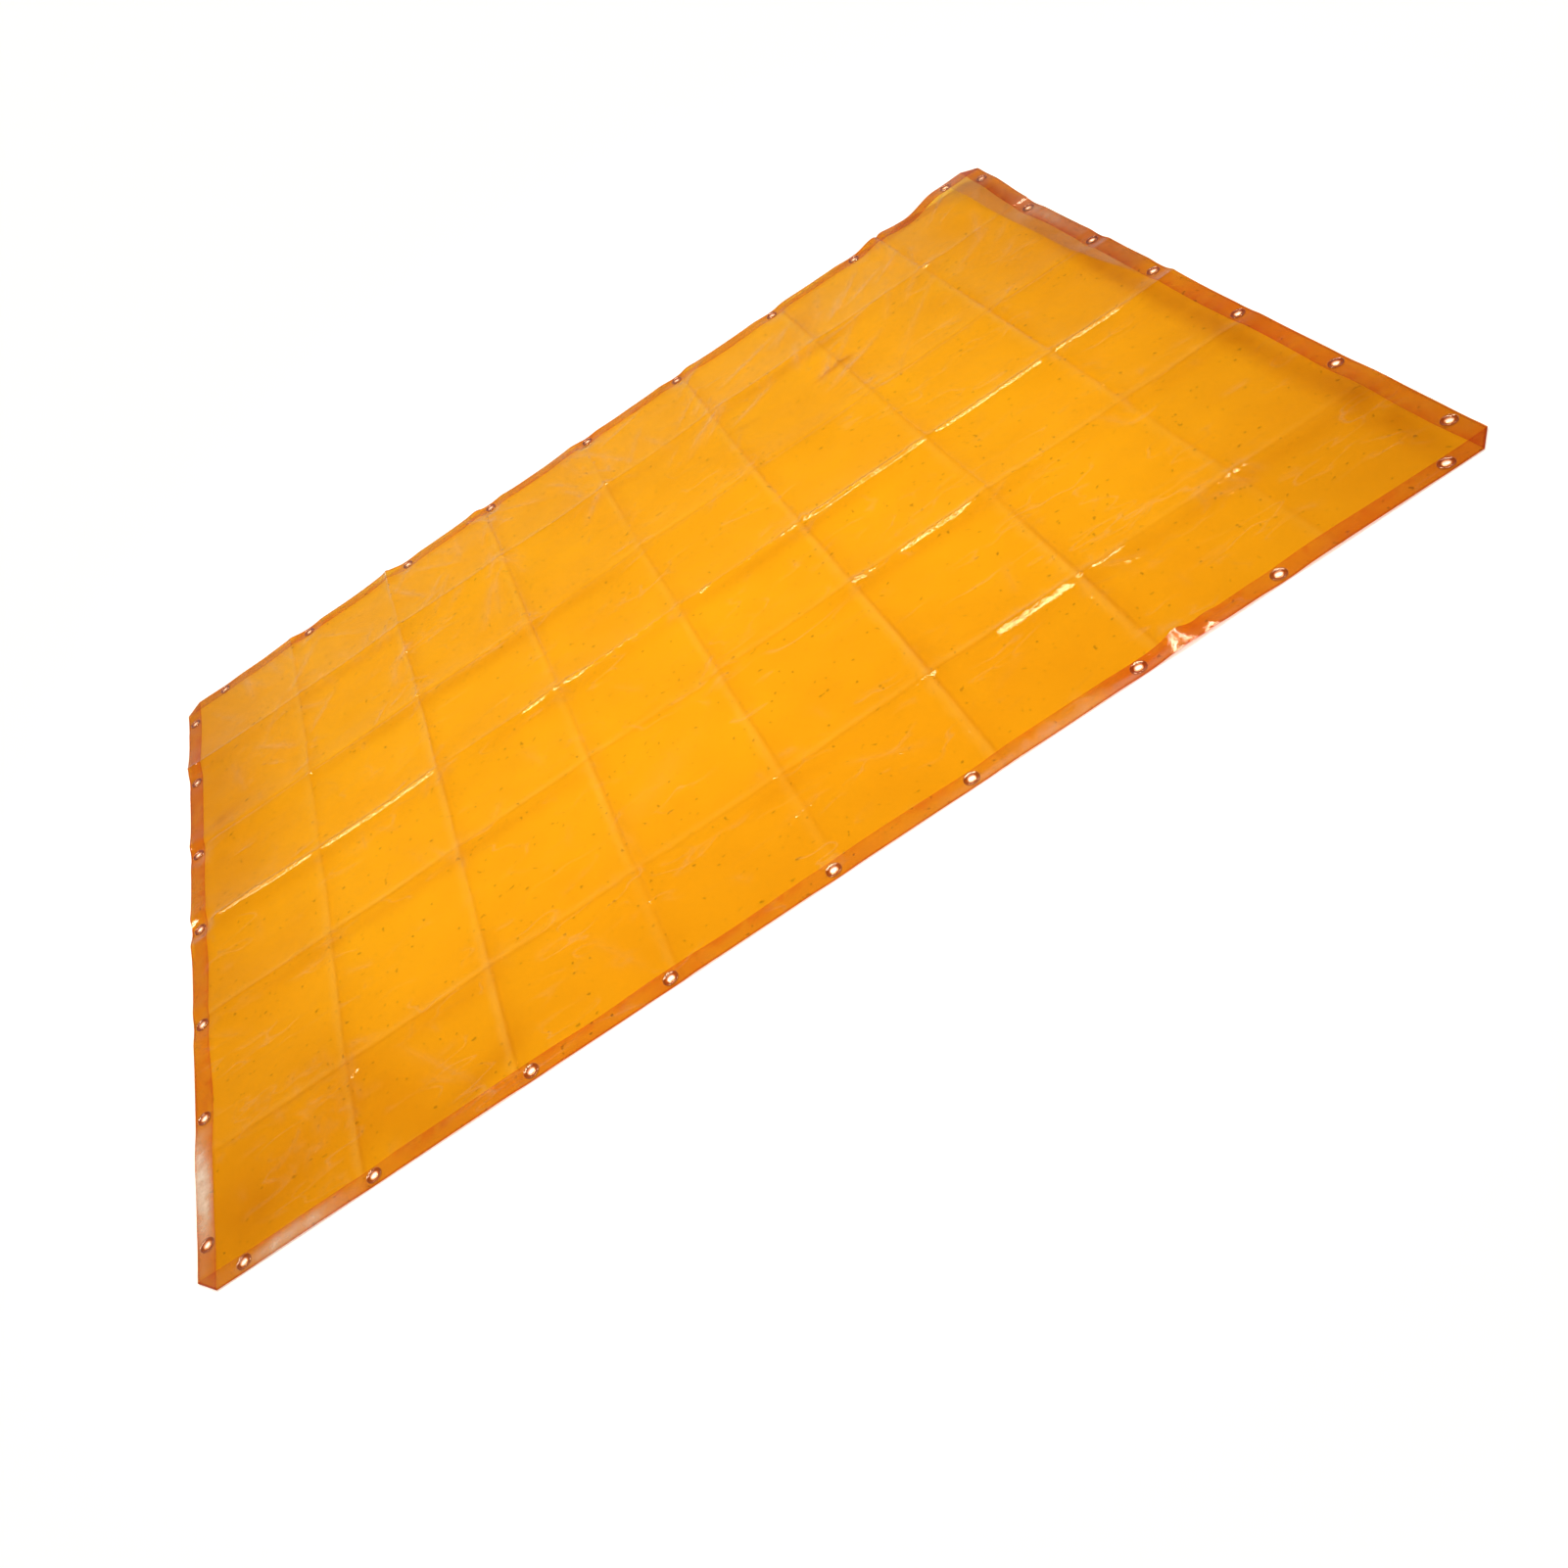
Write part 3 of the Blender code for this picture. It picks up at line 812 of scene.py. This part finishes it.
def mixed(tree, share, low, high):
    """Colour mix of two plain colours by a value."""
    node = add(tree, "ShaderNodeMix", data_type="RGBA")
    tree.links.new(share, node.inputs["Factor"])
    for socket in node.inputs:
        if socket.type == "RGBA":
            socket.default_value = (*(low if socket.name == "A" else high), 1)
    return next(s for s in node.outputs if s.type == "RGBA")


def calculated(tree, operation, *values, clamp=False):
    """A sum, product, power or the like of numbers and other nodes' values."""
    node = add(tree, "ShaderNodeMath", operation=operation, use_clamp=clamp)
    for socket, value in zip(node.inputs, values):
        if isinstance(value, float):
            socket.default_value = value
        else:
            tree.links.new(value, socket)
    return node.outputs[0]


def blended(tree, share, first, second):
    """A mix of two shaders by a number or a value."""
    node = add(tree, "ShaderNodeMixShader")
    if isinstance(share, float):
        node.inputs["Fac"].default_value = share
    else:
        tree.links.new(share, node.inputs["Fac"])
    tree.links.new(first, node.inputs[1])
    tree.links.new(second, node.inputs[2])
    return node.outputs[0]


def mirror_share(tree, exponent, low, high, normal=None):
    """How much of the light a surface mirrors: low seen straight on, high at a full slant."""
    facing = add(tree, "ShaderNodeLayerWeight", Blend=0.5)
    if normal:
        tree.links.new(normal, facing.inputs["Normal"])
    slant = calculated(tree, "POWER", facing.outputs["Facing"], exponent)
    return ranged(tree, slant, 0, 1, low, high)


def thin_lines(tree, coords, scale, turn, place):
    """Short curved hairlines where a stretched noise crosses its middle value, painted as highlights of
    small wrinkles.
    """
    stretch = add(tree, "ShaderNodeMapping")
    stretch.inputs["Location"].default_value = place
    stretch.inputs["Rotation"].default_value = (0, 0, math.radians(turn))
    stretch.inputs["Scale"].default_value = (0.55, 1.7, 1)
    tree.links.new(coords, stretch.inputs["Vector"])
    stretched = stretch.outputs["Vector"]
    offset = calculated(tree, "SUBTRACT", noise(tree, scale, 2, stretched), 0.5)
    line = ranged(tree, calculated(tree, "ABSOLUTE", offset), 0.0, 0.014, 1.0, 0.0)
    patch = ranged(tree, noise(tree, 6.0, 2, stretched), 0.54, 0.68, 0.0, 1.0)
    return calculated(tree, "MULTIPLY", line, patch)


# Scale, turn in degrees and place of the thin pale lines of painted highlight
LINE_SETS = ((7.0, 32, (0, 0, 0)), (9.0, -48, (3, 5, 0)), (8.0, 80, (7, 1, 0)))
# colour of the painted sheen
PAINTED_SHEEN_COLOUR = (0.95, 0.86, 0.88)


def painted_sheen_share(tree, coords, lines):
    """The painted sheen stored with the mesh, broken up by noise, and thin pale lines of painted highlight
    over it.
    """
    stored = add(tree, "ShaderNodeAttribute", attribute_name="painted_sheen")
    broken = ranged(tree, noise(tree, 38, 4, coords, 0.65), 0.3, 0.7, 0.55, 1.45)
    total = calculated(tree, "MULTIPLY", stored.outputs["Fac"], broken)
    for scale, turn, place in LINE_SETS:
        amount = calculated(tree, "MULTIPLY", thin_lines(tree, coords, scale, turn, place), lines)
        total = calculated(tree, "ADD", total, amount, clamp=True)
    return total


def film_material(name, clear, haze, haze_colour, lines):
    """Glossy see-through film: a tint per surface, a thin haze, a painted pale sheen, and more gloss at a
    slant.
    """
    material, tree = new_material(name)
    link = tree.links.new
    coords = add(tree, "ShaderNodeTexCoord").outputs["Object"]
    cloud = noise(tree, 3.2, 3, coords)
    patchy = mixed(tree, ranged(tree, cloud, 0.3, 0.7, 0, 1), tuple(0.985 * c for c in clear), clear)
    tint = add(tree, "ShaderNodeAttribute", attribute_name="tint")
    shade = add(tree, "ShaderNodeVectorMath", operation="MULTIPLY")
    link(patchy, shade.inputs[0])
    link(tint.outputs["Color"], shade.inputs[1])
    speck = ranged(tree, noise(tree, 85, 1, coords), 0.70, 0.78, 1.0, 0.86)
    specked = add(tree, "ShaderNodeVectorMath", operation="SCALE")
    link(shade.outputs["Vector"], specked.inputs[0])
    link(speck, specked.inputs["Scale"])
    passing = add(tree, "ShaderNodeBsdfTransparent")
    link(specked.outputs["Vector"], passing.inputs["Color"])

    coarse = add(tree, "ShaderNodeBump", Strength=0.25, Distance=0.004)
    link(noise(tree, 55, 4, coords, 0.6), coarse.inputs["Height"])
    fine = add(tree, "ShaderNodeBump", Strength=0.10, Distance=0.0004)
    link(noise(tree, 420, 2, coords), fine.inputs["Height"])
    link(coarse.outputs["Normal"], fine.inputs["Normal"])
    normal = fine.outputs["Normal"]

    hazy = add(tree, "ShaderNodeBsdfDiffuse", Color=(*haze_colour, 1))
    link(normal, hazy.inputs["Normal"])
    # the painted sheen: a pale diffuse layer
    pale = add(tree, "ShaderNodeBsdfDiffuse", Color=(*PAINTED_SHEEN_COLOUR, 1))
    link(normal, pale.inputs["Normal"])
    gloss = add(tree, "ShaderNodeBsdfGlossy")
    link(ranged(tree, noise(tree, 9, 4, coords), 0.3, 0.7, 0.020, 0.055), gloss.inputs["Roughness"])
    link(normal, gloss.inputs["Normal"])

    body = blended(tree, haze, passing.outputs[0], hazy.outputs[0])
    # the painted sheen mixed over the film
    veiled = blended(tree, painted_sheen_share(tree, coords, lines), body, pale.outputs[0])
    surface = blended(tree, mirror_share(tree, 5.0, 0.035, 0.9, normal), veiled, gloss.outputs[0])
    link(surface, add(tree, "ShaderNodeOutputMaterial").inputs["Surface"])
    return material


def root(colour):
    """The tint of one surface of a film whose two surfaces pass the colour together."""
    return tuple(channel ** 0.5 for channel in colour)


def eyelet_material():
    """Clear amber plastic, a little duller than the film."""
    material, tree = new_material("amber_eyelet")
    link = tree.links.new
    coords = add(tree, "ShaderNodeTexCoord").outputs["Object"]
    cloud = ranged(tree, noise(tree, 160, 2, coords), 0.3, 0.7, 0, 1)
    shade = add(tree, "ShaderNodeVectorMath", operation="MULTIPLY")
    link(mixed(tree, cloud, (0.955, 0.935, 0.96), (1.0, 1.0, 1.0)), shade.inputs[0])
    tint = add(tree, "ShaderNodeAttribute", attribute_name="tint")
    link(tint.outputs["Color"], shade.inputs[1])
    passing = add(tree, "ShaderNodeBsdfTransparent")
    link(shade.outputs["Vector"], passing.inputs["Color"])
    gloss = add(tree, "ShaderNodeBsdfGlossy", Color=(1, 0.96, 0.9, 1))
    link(ranged(tree, noise(tree, 300, 3, coords), 0.3, 0.7, 0.06, 0.14), gloss.inputs["Roughness"])
    surface = blended(tree, mirror_share(tree, 3.0, 0.05, 0.8), passing.outputs[0], gloss.outputs[0])
    link(surface, add(tree, "ShaderNodeOutputMaterial").inputs["Surface"])
    return material


FILM = film_material("amber_film", root((0.885, 0.520, 0.014)), 0.008, (0.9, 0.40, 0.06), 0.040)
HEM = film_material("hem_film", root((0.985, 0.88, 0.78)), 0.050, (1.0, 0.32, 0.06), 0.020)
EYELET = eyelet_material()
FLANGE_TINT = (0.960, 0.915, 0.90)
NECK_TINT = (0.95, 0.66, 0.34)
EYELET_SIDES = 40


# ---------------------------------------------------------------- pieces

def add_piece(name, mesh, material, slot, *nodes):
    """A visible piece on the part's one body, in place of some of its nodes."""
    mesh.materials.append(material)
    item = bpy.data.objects.new(name, mesh)
    bpy.context.scene.collection.objects.link(item)
    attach(item, "root")
    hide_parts(*nodes)
    return item


def eyelet_profile():
    """Half section of an eyelet as radius and height: soft-rimmed flanges on a neck."""
    bore, rim, top = EYELET_BORE_RADIUS, EYELET_RADIUS, EYELET_HEIGHT
    neck = bore + 0.0015
    flange = 0.0012
    profile = [(bore, 0.0009), (bore + 0.0003, 0.0002), (bore + 0.0010, 0.0), (rim - 0.0010, 0.0)]
    profile += [(rim - 0.0003, 0.0002), (rim, 0.0006), (rim - 0.0003, flange), (neck, flange)]
    profile += [(neck, top - flange), (rim - 0.0004, top - flange), (rim, top - 0.0008)]
    profile += [(rim - 0.0004, top - 0.00035), (rim - 0.0014, top - 0.0001), (rim - 0.0026, top - 0.00025)]
    profile += [(rim - 0.0036, top - 0.0005), (bore + 0.0024, top - 0.0005), (bore + 0.0016, top - 0.0001)]
    profile += [(bore + 0.0009, top), (bore + 0.0003, top - 0.0002), (bore, top - 0.0008)]
    return profile


def eyelet_mesh(name, centre, level):
    """An eyelet turned from its half section."""
    profile = eyelet_profile()
    verts = []
    for side in range(EYELET_SIDES):
        turn = math.tau * side / EYELET_SIDES
        out_x, out_y = math.cos(turn), math.sin(turn)
        for radius, height in profile:
            verts.append((centre[0] + radius * out_x, centre[1] + radius * out_y, level + height))
    count = len(profile)
    faces = []
    for side in range(EYELET_SIDES):
        here, after = side * count, (side + 1) % EYELET_SIDES * count
        for step in range(count):
            nxt = (step + 1) % count
            faces.append((here + step, after + step, after + nxt, here + nxt))
    mesh = bpy.data.meshes.new(name)
    mesh.from_pydata(verts, [], faces)
    # light runs a long way through the neck's wall, so it is deeper in colour than the flanges
    reach = np.tile([radius for radius, _ in profile], EYELET_SIDES)
    neck = 1 - smooth(EYELET_BORE_RADIUS + 0.0012, EYELET_BORE_RADIUS + 0.0030, reach)
    rim = smooth(EYELET_RADIUS - 0.0012, EYELET_RADIUS - 0.0004, reach)
    colours = np.outer(1 - neck, FLANGE_TINT) + np.outer(neck, NECK_TINT)
    store_tint(mesh, colours * (1 - np.outer(rim, (0.10, 0.22, 0.22))))
    mesh.validate()
    mesh.shade_smooth()
    mesh.set_sharp_from_angle(angle=math.radians(60))
    return mesh


for node, (low, high) in EYELETS.items():
    mesh = eyelet_mesh(node, (low + high) / 2, low.z)
    add_piece("moulded_" + node, mesh, EYELET, "eyelet_plastic", node)

mesh = film_mesh("curtain_film", sheet_outline(), in_sheet, film_height, film_tint_with_painted_light, panel_painted_sheen)
panel = add_piece("curtain_film", mesh, FILM, "amber_film", "film_panel")
for row in ROWS:
    height = long_hem_height if row in LONG_ROWS else short_hem_height
    name = "hem_band_" + row
    mesh = film_mesh(name, hem_outline(row), in_hem(row), height, hem_tint_with_painted_shade(row), hem_painted_glare)
    add_piece(name, mesh, HEM, "hem_film", "hem_" + row)


# ---------------------------------------------------------------- floor, light and camera

FLOOR_REACH = 60.0
# Brightness of the world by height above the horizon: height (0 level, 1 straight up), value
GLOW_STOPS = (
    (0.0, 0.45), (0.20, 0.40), (0.34, 0.26), (0.42, 0.135), (0.53, 0.055), (0.64, 0.015), (0.80, 0.008),
)
RING_STOPS = ((0.0, 0.0), (0.825, 0.0), (0.85, 1.0), (0.89, 1.0), (0.91, 0.0))
RING_COLOUR = (1.0, 0.95, 0.68)
RING_STRENGTH = 2.0
FAR_RING_STRENGTH = 24.0


def add_floor():
    """A wide pale floor that glows a little, so that it looks as white as the photo's."""
    mesh = bpy.data.meshes.new("floor")
    corners = [(FLOOR_REACH * x, FLOOR_REACH * y, 0) for x, y in ((-1, -1), (1, -1), (1, 1), (-1, 1))]
    mesh.from_pydata(corners, [], [(0, 1, 2, 3)])
    floor = bpy.data.objects.new("floor", mesh)
    bpy.context.scene.collection.objects.link(floor)
    material, tree = new_material("pale_floor")
    shader = add(tree, "ShaderNodeBsdfPrincipled", Roughness=0.9)
    shader.inputs["Base Color"].default_value = (0.84, 0.84, 0.84, 1)
    shader.inputs["Specular IOR Level"].default_value = 0.1
    shader.inputs["Emission Color"].default_value = (0.94, 0.96, 1, 1)
    shader.inputs["Emission Strength"].default_value = 0.42
    tree.links.new(shader.outputs[0], add(tree, "ShaderNodeOutputMaterial").inputs["Surface"])
    mesh.materials.append(material)


def add_spot(name, place, aim, cone, radius, power):
    """A soft-edged spot that brightens the middle of the sheet."""
    light = bpy.data.lights.new(name, "SPOT")
    light.spot_size = math.radians(cone)
    light.spot_blend = 1.0
    light.shadow_soft_size = radius
    light.energy = power
    item = bpy.data.objects.new(name, light)
    item.location = place
    item.rotation_euler = (Vector(aim) - Vector(place)).to_track_quat("-Z", "Y").to_euler()
    bpy.context.scene.collection.objects.link(item)


def height_ramp(tree, height, stops):
    """A brightness for each height, from a list of stops."""
    node = add(tree, "ShaderNodeValToRGB")
    ramp = node.color_ramp
    for position, _ in stops[len(ramp.elements):]:
        ramp.elements.new(position)
    for element, (position, value) in zip(ramp.elements, stops):
        element.position = position
        element.color = (value, value, value, 1)
    tree.links.new(height, node.inputs[0])
    return node.outputs["Color"]


def add_world():
    """The studio around: a low glow, darkness above it, then a ring of soft light up high.

    The ring is brightest on the far side, where the folds mirror it. Straight above stays dark, so
    the flat film isn't veiled from there. The backdrop itself is white.
    """
    world = bpy.data.worlds.new("studio")
    world.use_nodes = True
    tree = world.node_tree
    link = tree.links.new
    split = add(tree, "ShaderNodeSeparateXYZ")
    link(add(tree, "ShaderNodeTexCoord").outputs["Generated"], split.inputs[0])
    glow = add(tree, "ShaderNodeBackground")
    link(height_ramp(tree, split.outputs["Z"], GLOW_STOPS), glow.inputs["Color"])
    ring = add(tree, "ShaderNodeBackground")
    warm = add(tree, "ShaderNodeVectorMath", operation="MULTIPLY")
    link(height_ramp(tree, split.outputs["Z"], RING_STOPS), warm.inputs[0])
    warm.inputs[1].default_value = RING_COLOUR
    link(warm.outputs["Vector"], ring.inputs["Color"])
    strength = ranged(tree, split.outputs["Y"], 0.20, 0.40, RING_STRENGTH, FAR_RING_STRENGTH)
    link(strength, ring.inputs["Strength"])
    both = add(tree, "ShaderNodeAddShader")
    link(glow.outputs[0], both.inputs[0])
    link(ring.outputs[0], both.inputs[1])
    backdrop = add(tree, "ShaderNodeBackground", Color=(1, 1, 1, 1), Strength=1.05)
    camera_ray = add(tree, "ShaderNodeLightPath").outputs["Is Camera Ray"]
    seen = blended(tree, camera_ray, both.outputs[0], backdrop.outputs[0])
    link(seen, tree.nodes["World Output"].inputs["Surface"])
    bpy.context.scene.world = world


def add_camera():
    """The camera stands at the near side, tilted down and rolled to its right."""
    place = Vector((0.095, -2.438, 1.520))
    aim = Vector((0.005, -0.653, 0.0))
    roll = math.radians(-35.63)
    camera = bpy.data.cameras.new("camera")
    camera.sensor_width = 36
    camera.lens = 31.68
    item = bpy.data.objects.new("camera", camera)
    level = (aim - place).to_track_quat("-Z", "Y").to_matrix()
    item.matrix_world = Matrix.Translation(place) @ (level @ Matrix.Rotation(roll, 3, "Z")).to_4x4()
    bpy.context.scene.collection.objects.link(item)
    bpy.context.scene.camera = item


add_floor()
add_world()
add_spot("key", place=(0.0, -3.1, 4.4), aim=(0, 0.12, 0), cone=36, radius=0.40, power=500)
add_camera()
scene = bpy.context.scene
scene.view_settings.view_transform = "Standard"
scene.cycles.transparent_max_bounces = 32
